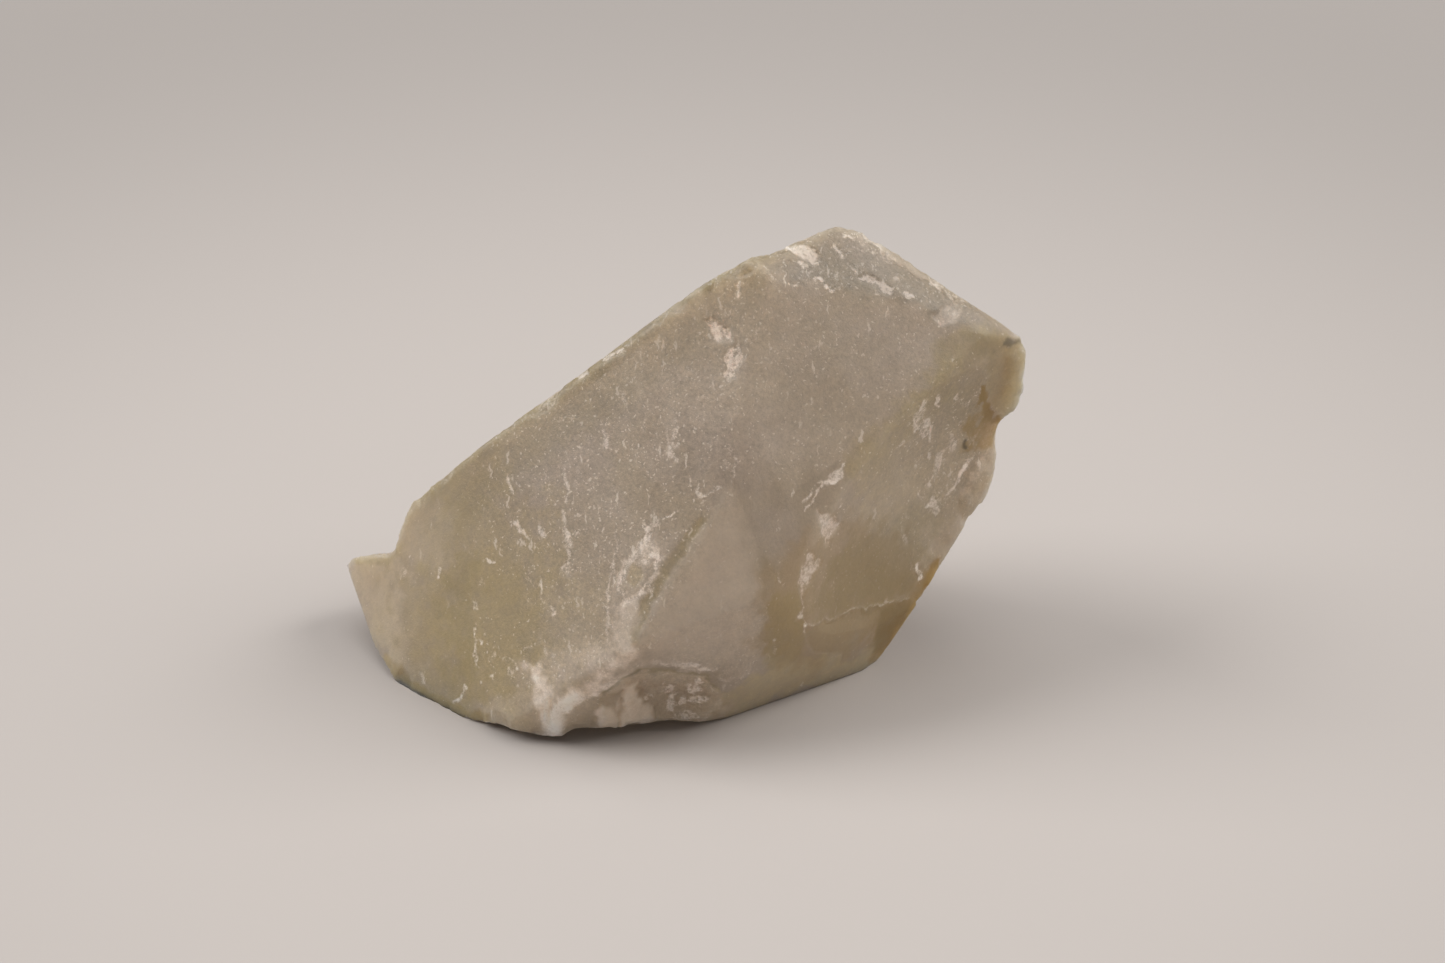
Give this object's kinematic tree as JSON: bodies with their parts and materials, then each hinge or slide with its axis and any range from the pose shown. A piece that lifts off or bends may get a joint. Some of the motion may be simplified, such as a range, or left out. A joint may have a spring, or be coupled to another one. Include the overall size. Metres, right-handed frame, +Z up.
{
  "type": "aragonite specimen",
  "caption": "Broken hand-sized lump of translucent greenish-grey aragonite with shell-shaped fractures, lying on a small flat spot.",
  "frame": {"origin": "on the surface the stone rests on, under the middle of its box", "axes": "+X along the stone's length, towards its blunt right end; -Y towards its front, the side of the large pale fracture faces; +Z up"},
  "size_m": [0.0676, 0.038, 0.0452],
  "materials": {
    "aragonite": "satin"
  },
  "bodies": {
    "root": {"aragonite_stone": "aragonite"}
  },
  "joints": []
}
